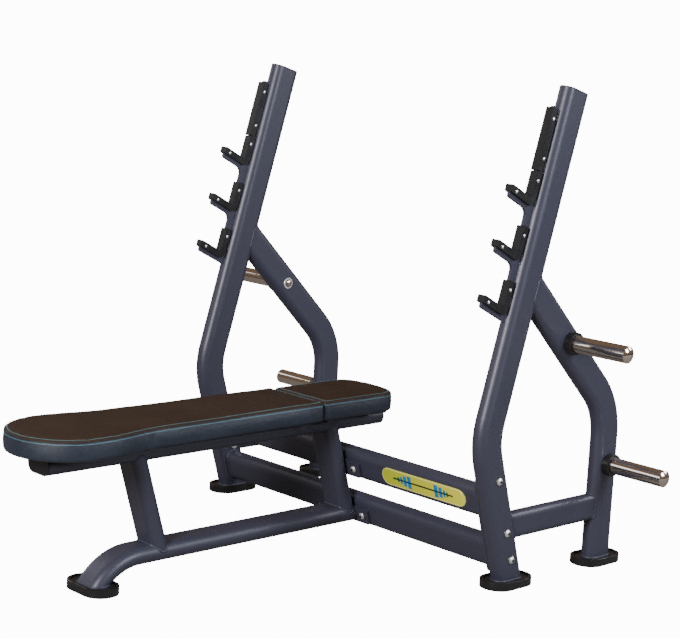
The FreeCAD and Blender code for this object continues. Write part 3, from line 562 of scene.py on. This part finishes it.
def addPad(label, node, lineOf):
    low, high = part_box(node)
    box = (low, high)
    piece = padBody(label, node, lineOf)
    tree = surfaceOf(piece)
    threads = bmesh.new()
    for row in ("top", "side"):
        places = seamPlaces(tree, box, lineOf, row, padSettings["stitchPitch"])
        stitchRow(threads, places, padSettings["stitchLength"], padSettings["stitchRadius"])
    finishPiece(label + "Stitches", threads, [stitchThread])
    welt = bmesh.new()
    places = seamPlaces(tree, box, lineOf, "seam", padSettings["weltPitch"])
    sweep(welt, places, padSettings["weltRadius"], sink=padSettings["weltSink"])
    finishPiece(label + "Welt", welt, [weltLeather])
    paintPad(piece, box)
    smooth = piece.modifiers.new("smooth", "SUBSURF")
    smooth.levels = 1
    smooth.render_levels = 1
    print(label, "done", len(piece.data.polygons))


addPad("seatPad", "main_pad_cushion", seatLine)
addPad("headPad", "head_pad_cushion", headLine)


# weld beads

shape = {
    "flat": 0.0235, "round": 0.025,  # the oval tube: half its flat, and its end radius
    "barFlat": 0.020, "barRound": 0.020,
    "legLean": 17.15, "uprightLean": 15.7, "braceLean": 45.5, "railSlope": 52.0,
    "frameX": 0.600, "kneeY": 0.254, "kneeZ": 0.423,
}
beadSettings = {
    "radius": 0.0028, "braceRadius": 0.0024, "hookRadius": 0.0026,
    "pitch": 0.0014, "ripple": 0.0038, "rippleDepth": 0.16, "uneven": 0.05, "corners": 8,
    "copeRise": 0.0058, "copeReach": 0.027,  # where the cut tube ends are held off the flat
    "hookFlank": 0.0062, "hookFront": 0.0488,
    "hookSpans": [(0.888, 0.922), (0.748, 0.775), (0.640, 0.668), (0.488, 0.516), (0.372, 0.396)],
}


def leaning(degrees):
    angle = math.radians(degrees)
    return Vector((0, math.sin(angle), math.cos(angle))), Vector((0, -math.cos(angle), math.sin(angle)))


def middleOf(node):
    low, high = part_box(node)
    return (low + high) / 2


# Closed outline of a flat oval as (wide, thick) pairs
def ovalPath(flat, radius):
    right = arc((flat, 0), radius, -90, 90, 16)
    left = arc((-flat, 0), radius, 90, 270, 16)
    line = []
    for a, b in ((right[-1], left[0]), (left[-1], right[0])):
        line.append([a.lerp(b, share / 8) for share in range(1, 8)])
    return right + line[0] + left + line[1]


# A rippled bead along a seam
def weldBead(build, points, closed, facing=None, radius=beadSettings["radius"]):
    pitch = beadSettings["pitch"]
    corners = beadSettings["corners"]
    spots = evenly(points, pitch, closed)
    if facing is None:
        facing = Vector((0, 0, 0))
        for a, b in zip(points, points[1:] + points[:1]):
            facing += a.cross(b)
    rings = []
    for number, (middle, along) in enumerate(spots):
        across = facing.cross(along)
        across = across.normalized() if across.length > 1e-9 else along.orthogonal().normalized()
        second = along.cross(across).normalized()
        ripple = beadSettings["rippleDepth"] * math.sin(2 * math.pi * number * pitch / beadSettings["ripple"])
        wave = radius * (1 + ripple + random.uniform(-beadSettings["uneven"], beadSettings["uneven"]))
        rings.append([build.verts.new(middle + across * (wave * math.cos(a)) + second * (wave * math.sin(a)))
                      for a in (2 * math.pi * step / corners for step in range(corners))])
    joinRings(build, rings, closed)


legUp, legForward = leaning(-shape["legLean"])
uprightUp, uprightForward = leaning(shape["uprightLean"])
wide = Vector((1, 0, 0))
knee = Vector((0, shape["kneeY"], shape["kneeZ"]))
tubeOval = ovalPath(shape["flat"], shape["round"])
random.seed(7)
beads = bmesh.new()

# the posts meet the beam above and the rail below
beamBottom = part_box("bench_beam")[0].z
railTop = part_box("bench_rail")[1].z
for post in ("front_post", "rear_post"):
    middle = middleOf(post)
    for level, sign in ((beamBottom + shape["round"], -1), (railTop - shape["round"], 1)):
        seam = []
        for u, v in tubeOval:
            past = max(0.0, abs(u) - shape["flat"])
            rise = max(beadSettings["copeRise"], math.sqrt(max(0.0, shape["round"] ** 2 - past ** 2)))
            start = middle + wide * u + legForward * v
            seam.append(start + legUp * ((level + sign * rise - start.z) / legUp.z))
        weldBead(beads, seam, True)

# the crossbars meet the end plates
for bar in ("upper_crossbar", "lower_crossbar"):
    middle = middleOf(bar)
    for side, sign in sides:
        end = Vector((sign * (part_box(bar)[1].x - 0.0005), middle.y, middle.z))
        weldBead(beads, [end + legUp * u + legForward * v for u, v in tubeOval], True)

legAxis = middleOf("upper_crossbar")
for side, sign in sides:
    x = sign * shape["frameX"]
    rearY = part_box("brace_tube_" + side)[1].y - shape["flat"] - shape["round"]
    barZ = middleOf("side_bar_" + side).z
    lean = math.radians(shape["legLean"])
    rear = []
    front = []
    for u, v in ovalPath(shape["barFlat"], shape["barRound"]):
        depth = shape["flat"] + math.sqrt(shape["round"] ** 2 - v ** 2)
        rear.append(Vector((x + v, rearY - depth, barZ + u)))
        frontY = legAxis.y + (legAxis.z - (barZ + u)) * math.tan(lean) + depth / math.cos(lean)
        front.append(Vector((x + v, frontY, barZ + u)))
    weldBead(beads, rear, True)
    weldBead(beads, front, True)

    # the brace meets the upright
    horn = [m for m in frame["record"]["mounts"] if m["name"] == "upper_horn_" + side][0]["pos_m"]
    start = Vector((x, horn[1], horn[2]))
    braceUp, braceSide = leaning(-shape["braceLean"])
    seam = []
    for u, v in tubeOval:
        point = start + braceSide * u + wide * v
        past = shape["flat"] + math.sqrt(max(0.0, shape["round"] ** 2 - v ** 2))
        behind = -(point - knee).dot(uprightForward)
        reach = (behind - max(past, beadSettings["copeReach"])) / braceUp.dot(uprightForward)
        seam.append(point + braceUp * reach)
    weldBead(beads, seam, True, radius=beadSettings["braceRadius"])

    # legs stand on their foot plates
    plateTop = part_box("front_foot_plate_" + side)[1].z
    legFoot = legAxis + wide * x
    seam = []
    for u, v in tubeOval:
        point = legFoot + legForward * u + wide * v
        seam.append(point + legUp * ((plateTop - point.z) / legUp.z))
    weldBead(beads, seam, True)
    weldBead(beads, [Vector((x + v, rearY + u, plateTop)) for u, v in tubeOval], True)

    # stitch welds hold the hook plate to the upright's front
    for low, high in beadSettings["hookSpans"]:
        for flank in (-1, 1):
            start = knee + wide * (x + flank * beadSettings["hookFlank"])
            start += uprightForward * beadSettings["hookFront"]
            line = [start + uprightUp * (low + (high - low) * share / 8) for share in range(9)]
            weldBead(beads, line, False, wide, beadSettings["hookRadius"])

# the rail's end stands on the bench foot
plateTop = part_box("bench_foot_plate")[1].z
foot = middleOf("bench_foot_plate")
slope = math.radians(shape["railSlope"])
weldBead(beads, [Vector((u, foot.y + 0.0015 + v / math.sin(slope), plateTop))
                 for u, v in tubeOval], True)
finishPiece("weldBeads", beads, [looks["frame_paint"]])
print("welds done")


# bolt heads: a thin washer under each rim, coloured dark as painted shade round the head, and a flat near-black
# hexagon in each dome as painted shade of its socket recess
boltSettings = {
    "heights": (0.310, 0.156, 0.075), "back": 0.008, "rise": 0.0066,
    "flangeX": 0.067, "flangeDrop": 0.008, "flangeFace": 0.033,
    "washer": 0.0140, "washerBevel": 0.0006, "hornWasher": 0.0185, "hornBevel": 0.0008, "washerTall": 0.0012,
    "socket": 0.0044, "socketTall": 0.0012, "socketSink": 0.0004,
}


def boltPlaces():
    found = []
    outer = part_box("leg_bolts")[1].x - boltSettings["rise"]
    for height in boltSettings["heights"]:
        spot = legAxis + legUp * ((height - legAxis.z) / legUp.z) - legForward * boltSettings["back"]
        found += [(Vector((sign * outer, spot.y, spot.z)), wide * sign) for side, sign in sides]
    for bar in ("upper_crossbar", "lower_crossbar"):
        middle = middleOf(bar)
        spot = middle - legUp * boltSettings["flangeDrop"] + legForward * boltSettings["flangeFace"]
        found += [(spot + wide * (sign * boltSettings["flangeX"]), legForward) for side, sign in sides]
    return found


def addDisc(build, place, wideEnd, narrowEnd, tall, corners):
    bmesh.ops.create_cone(
        build, cap_ends=True, segments=corners, radius1=wideEnd, radius2=narrowEnd, depth=tall, matrix=place
    )


washers = bmesh.new()
socketShadeDiscs = bmesh.new()
for place, out in boltPlaces():
    turn = out.to_track_quat("Z", "X").to_matrix().to_4x4()
    turn.translation = place + out * (boltSettings["washerTall"] / 2)
    addDisc(washers, turn, boltSettings["washer"], boltSettings["washer"] - boltSettings["washerBevel"],
            boltSettings["washerTall"], 40)
    turn.translation = place + out * (boltSettings["rise"] - boltSettings["socketSink"])
    addDisc(socketShadeDiscs, turn, boltSettings["socket"], boltSettings["socket"], boltSettings["socketTall"], 6)

bright = bmesh.new()
inside = shape["frameX"] - shape["round"]
for mount in frame["record"]["mounts"]:
    if "_horn_" not in mount["name"]:
        continue
    sign = 1 if mount["name"].endswith("right") else -1
    turn = (wide * -sign).to_track_quat("Z", "X").to_matrix().to_4x4()
    turn.translation = (sign * (inside - boltSettings["washerTall"] / 2), mount["pos_m"][1], mount["pos_m"][2])
    addDisc(bright, turn, boltSettings["hornWasher"], boltSettings["hornWasher"] - boltSettings["hornBevel"],
            boltSettings["washerTall"], 48)
# dark washer colour: painted shade line round each bolt head's rim, on a thin washer
washerPaintedShade = plainColor("washerPaintedShade", (0.035, 0.035, 0.040), 0.35)
# near-black hexagon on each dome: painted shade of the head's socket recess
socketPaintedShade = plainColor("socketPaintedShade", (0.006, 0.006, 0.007), 0.5)
finishPiece("hornWashers", bright, [looks["bolt_steel"]], smooth=False)
finishPiece("boltWashers", washers, [washerPaintedShade], smooth=False)
finishPiece("boltSocketShade", socketShadeDiscs, [socketPaintedShade], smooth=False)
print("bolts done")


# the rubber feet: a rounded lip on each rim
lipSettings = {"inset": 0.0050, "radius": 0.0049, "sink": 0.0032, "pitch": 0.004}
feet = ["front_foot_right", "front_foot_left", "rear_foot_right", "rear_foot_left", "bench_foot"]
lips = bmesh.new()
for node in feet:
    low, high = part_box(node)
    middle = (low + high) / 2
    size = high - low
    lengthwise = size.x > size.y
    radius = min(size.x, size.y) / 2 - lipSettings["inset"]
    flat = abs(size.x - size.y) / 2
    outline = [(u, v) if lengthwise else (-v, u) for u, v in ovalPath(flat, radius)]
    outline = [Vector((middle.x + u, middle.y + v, high.z - lipSettings["sink"])) for u, v in outline]
    sweep(lips, [(p, d, up) for p, d in evenly(outline, lipSettings["pitch"])], lipSettings["radius"], 12)
finishPiece("footLips", lips, [looks["black_rubber"]])
print("feet done")


# badge
badgeSettings = {
    "half": 0.165, "tall": 0.027, "drop": -0.002, "raise": 0.0036,
    "rim": 0.0012, "edge": 0.0022, "rimPitch": 0.003, "markTall": 0.0006,
    "bar": (0.118, -0.0022, 0.0028),  # half length, low and high edge
    # each plate's near and far edge and half height
    "plates": ((0.046, 0.060, 0.0195), (0.0645, 0.0765, 0.0160), (0.081, 0.089, 0.0110)),
    "collar": (0.0930, 0.1000, -0.0070, 0.0080),  # near, far, low and high edge
    "lift": 0.0005,
}
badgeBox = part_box("badge")
badgeCentre = legAxis - legUp * badgeSettings["drop"] + legForward * (shape["round"] + badgeSettings["raise"])
badgeCentre.x = (badgeBox[0].x + badgeBox[1].x) / 2


def onBadge(u, v, lift=0.0):
    return badgeCentre + wide * u + legUp * v + legForward * lift


def badgeBar(build, u0, u1, v0, v1):
    corners = [build.verts.new(onBadge(u, v)) for u, v in ((u0, v0), (u1, v0), (u1, v1), (u0, v1))]
    face = build.faces.new(corners)
    lifted = bmesh.ops.extrude_face_region(build, geom=[face])
    bmesh.ops.translate(build, verts=[i for i in lifted["geom"] if isinstance(i, bmesh.types.BMVert)],
                        vec=legForward * badgeSettings["markTall"])


rim = bmesh.new()
straight = badgeSettings["half"] - badgeSettings["tall"]
rimOval = ovalPath(straight, badgeSettings["tall"] - badgeSettings["edge"])
outline = [onBadge(u, v, -badgeSettings["markTall"]) for u, v in rimOval]
sweep(rim, [(p, d, legForward) for p, d in evenly(outline, badgeSettings["rimPitch"])], badgeSettings["rim"], 6)
finishPiece("badgeRim", rim, [plainColor("rimYellow", (0.78, 0.76, 0.30), 0.25)])

marks = bmesh.new()
half, low, high = badgeSettings["bar"]
badgeBar(marks, -half, half, low, high)
markBlack = plainColor("markBlack", (0.012, 0.014, 0.014), 0.4)
finishPiece("badgeBar", marks, [markBlack], smooth=False)

marks = bmesh.new()
for sign in (-1, 1):
    for near, far, tall in badgeSettings["plates"]:
        a, b = sorted((sign * near, sign * far))
        badgeBar(marks, a, b, badgeSettings["lift"] - tall, badgeSettings["lift"] + tall)
markBlue = plainColor("markBlue", (0.010, 0.20, 0.42), 0.35)
finishPiece("badgePlates", marks, [markBlue], smooth=False)

marks = bmesh.new()
near, far, low, high = badgeSettings["collar"]
for sign in (-1, 1):
    a, b = sorted((sign * near, sign * far))
    badgeBar(marks, a, b, low, high)
finishPiece("badgeCollars", marks, [plainColor("markGreen", (0.010, 0.16, 0.050), 0.35)],
            smooth=False)
print("badge done")


# floor, light and camera
stageSettings = {
    "floorSize": 60, "floorColor": (0.22, 0.21, 0.20, 1),
    "glow": 13.0,  # how bright the plain backdrop looks to the camera
    "fill": 0.30, "fillColor": (0.60, 0.43, 0.31, 1),  # what the object itself sees round it
}


def stagePlane(name, place, size, material):
    build = bmesh.new()
    bmesh.ops.create_grid(build, x_segments=1, y_segments=1, size=size / 2)
    mesh = bpy.data.meshes.new(name)
    build.to_mesh(mesh)
    build.free()
    plane = bpy.data.objects.new(name, mesh)
    plane.location = place
    mesh.materials.append(material)
    scene.collection.objects.link(plane)


def paleFloor():
    material = bpy.data.materials.new("paleFloor")
    material.use_nodes = True
    tree = material.node_tree
    tree.nodes.clear()
    output = tree.nodes.new("ShaderNodeOutputMaterial")
    matte = tree.nodes.new("ShaderNodeBsdfDiffuse")
    matte.inputs["Color"].default_value = stageSettings["floorColor"]
    glow = tree.nodes.new("ShaderNodeEmission")
    path = tree.nodes.new("ShaderNodeLightPath")
    strength = tree.nodes.new("ShaderNodeMath")
    strength.operation = "MULTIPLY"
    strength.inputs[1].default_value = stageSettings["glow"]
    both = tree.nodes.new("ShaderNodeAddShader")
    tree.links.new(path.outputs["Is Camera Ray"], strength.inputs[0])
    tree.links.new(strength.outputs[0], glow.inputs["Strength"])
    tree.links.new(matte.outputs[0], both.inputs[0])
    tree.links.new(glow.outputs[0], both.inputs[1])
    tree.links.new(both.outputs[0], output.inputs["Surface"])
    return material


stagePlane("floorPlane", (0, 0, 0), stageSettings["floorSize"], paleFloor())

world = bpy.data.worlds.new("studio")
world.use_nodes = True
scene.world = world
tree = world.node_tree
background = tree.nodes["Background"]
path = tree.nodes.new("ShaderNodeLightPath")
strength = tree.nodes.new("ShaderNodeMapRange")
strength.inputs["To Min"].default_value = stageSettings["fill"]
strength.inputs["To Max"].default_value = stageSettings["glow"]
tree.links.new(path.outputs["Is Camera Ray"], strength.inputs["Value"])
tree.links.new(strength.outputs["Result"], background.inputs["Strength"])
sky = tree.nodes.new("ShaderNodeMix")
sky.data_type = "RGBA"
sky.inputs["A"].default_value = stageSettings["fillColor"]
sky.inputs["B"].default_value = (1, 1, 1, 1)
tree.links.new(path.outputs["Is Camera Ray"], sky.inputs["Factor"])
tree.links.new(sky.outputs["Result"], background.inputs["Color"])

lamps = [
    # name, place, target, size, watts, color
    ("keyLamp", (1.9, -5.0, 2.9), (0.2, 0.0, 0.5), (1.6, 1.8), 420, (1.0, 0.98, 0.97)),
    ("sideLamp", (5.2, 1.7, 2.9), (0.5, 0.4, 0.8), (1.8, 2.0), 235, (0.86, 0.92, 1.0)),
    ("leftLamp", (-3.0, -4.0, 2.2), (-0.2, 0.0, 0.5), (1.4, 1.8), 16, (0.90, 0.95, 1.0)),
    ("topLamp", (-0.2, -0.6, 4.2), (0, 0, 0.4), (2.0, 2.0), 30, (1.0, 0.84, 0.70)),
    ("backLamp", (3.0, 4.8, 3.0), (0, 0.5, 0.7), (2.0, 1.8), 110, (0.94, 0.96, 1.0)),
    ("farLeftLamp", (-5.4, -1.0, 2.6), (-0.3, 0.3, 0.7), (2.0, 1.8), 45, (0.94, 0.96, 1.0)),
]
for name, place, target, size, watts, color in lamps:
    light = bpy.data.lights.new(name, "AREA")
    light.shape = "RECTANGLE"
    light.size, light.size_y = size
    light.energy = watts
    light.color = color
    lamp = bpy.data.objects.new(name, light)
    lamp.location = place
    lamp.rotation_euler = (Vector(target) - Vector(place)).to_track_quat("-Z", "Y").to_euler()
    scene.collection.objects.link(lamp)

view = {"place": (3.647, -3.1985, 1.4983), "azimuth": 46.54, "pitch": 9.38, "roll": 3.01, "lens": 91.78}
az, pitch, roll = (math.radians(view[key]) for key in ("azimuth", "pitch", "roll"))
ahead = Vector((-math.sin(az) * math.cos(pitch), math.cos(az) * math.cos(pitch), -math.sin(pitch)))
levelRight = Vector((math.cos(az), math.sin(az), 0))
levelUp = levelRight.cross(ahead)
right = levelRight * math.cos(roll) + levelUp * math.sin(roll)
top = levelUp * math.cos(roll) - levelRight * math.sin(roll)
cameraData = bpy.data.cameras.new("camera")
cameraData.sensor_width = 36
cameraData.sensor_fit = "HORIZONTAL"
cameraData.lens = view["lens"]
camera = bpy.data.objects.new("camera", cameraData)
turn = Matrix((right, top, -ahead)).transposed().to_4x4()
turn.translation = view["place"]
camera.matrix_world = turn
scene.collection.objects.link(camera)
scene.camera = camera
print("stage done")
